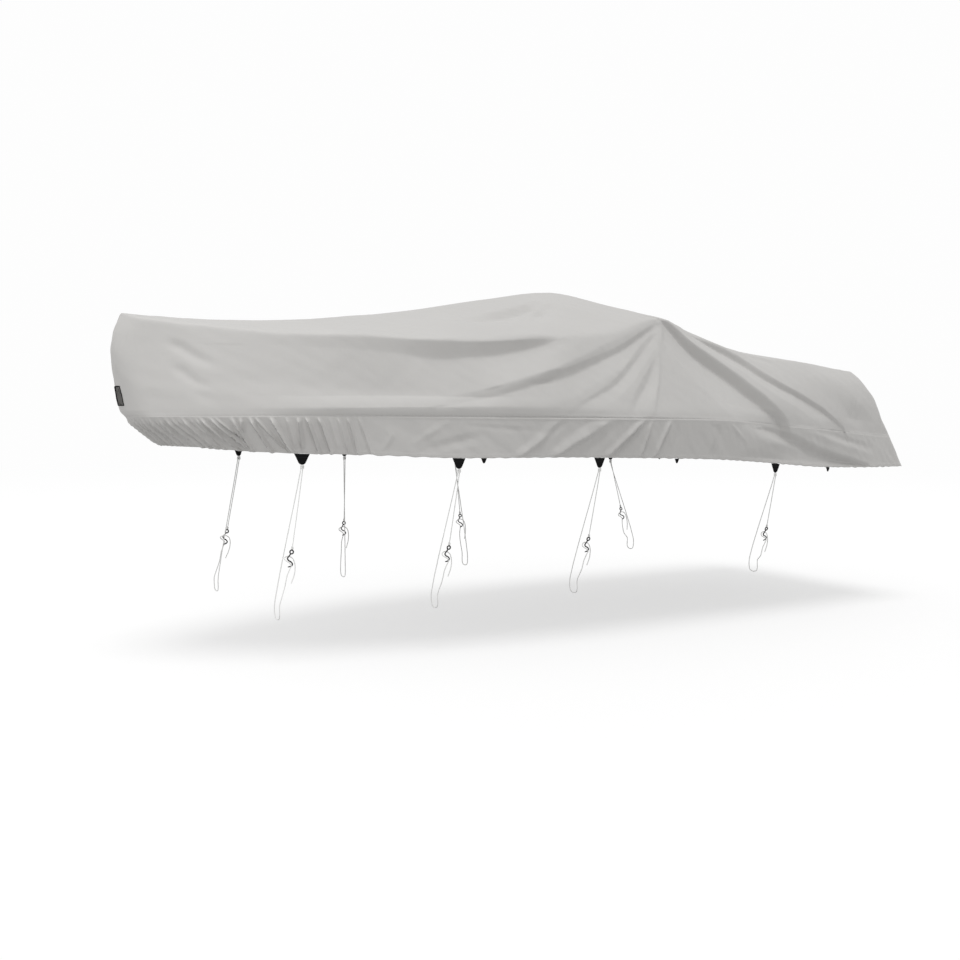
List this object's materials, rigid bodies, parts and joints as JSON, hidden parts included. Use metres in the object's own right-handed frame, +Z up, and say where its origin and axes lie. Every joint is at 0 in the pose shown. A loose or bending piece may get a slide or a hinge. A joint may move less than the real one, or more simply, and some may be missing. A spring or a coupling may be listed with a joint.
{
  "type": "boat cover",
  "caption": "Fitted boat cover: hollow cloth shell with a gathered skirt, webbing tabs on the hem, and white tie lines with black hooks.",
  "frame": {"origin": "the point under the top of the roof, on the cloth's inner face, where the cover is held up", "axes": "+X towards the stern, along the cover's length; +Y to starboard; +Z up"},
  "size_m": [6.8749, 2.4, 2.4652],
  "materials": {
    "cover_cloth": "woven, matt",
    "black_webbing": "woven webbing, matt",
    "white_cord": "braided cord, matt",
    "black_plastic": "moulded, satin"
  },
  "bodies": {
    "root": {"shell": "cover_cloth", "skirt": "cover_cloth", "tie_tab_port_1": "black_webbing", "tie_tab_port_2": "black_webbing", "tie_tab_port_3": "black_webbing", "tie_tab_port_4": "black_webbing", "tie_tab_starboard_1": "black_webbing", "tie_tab_starboard_2": "black_webbing", "tie_tab_starboard_3": "black_webbing", "tie_tab_starboard_4": "black_webbing", "loop_tab_port_1": "black_webbing", "loop_tab_port_2": "black_webbing", "loop_tab_port_3": "black_webbing", "loop_tab_starboard_1": "black_webbing", "loop_tab_starboard_2": "black_webbing", "loop_tab_starboard_3": "black_webbing", "tie_leg_port_1": "white_cord", "tie_leg_port_2": "white_cord", "tie_leg_port_3": "white_cord", "tie_leg_port_4": "white_cord", "tie_leg_starboard_1": "white_cord", "tie_leg_starboard_2": "white_cord", "tie_leg_starboard_3": "white_cord", "tie_leg_starboard_4": "white_cord", "tie_line_port_1": "white_cord", "tie_line_port_2": "white_cord", "tie_line_port_3": "white_cord", "tie_line_port_4": "white_cord", "tie_line_starboard_1": "white_cord", "tie_line_starboard_2": "white_cord", "tie_line_starboard_3": "white_cord", "tie_line_starboard_4": "white_cord", "tie_hook_port_1": "black_plastic", "tie_hook_port_2": "black_plastic", "tie_hook_port_3": "black_plastic", "tie_hook_port_4": "black_plastic", "tie_hook_starboard_1": "black_plastic", "tie_hook_starboard_2": "black_plastic", "tie_hook_starboard_3": "black_plastic", "tie_hook_starboard_4": "black_plastic"}
  },
  "joints": []
}
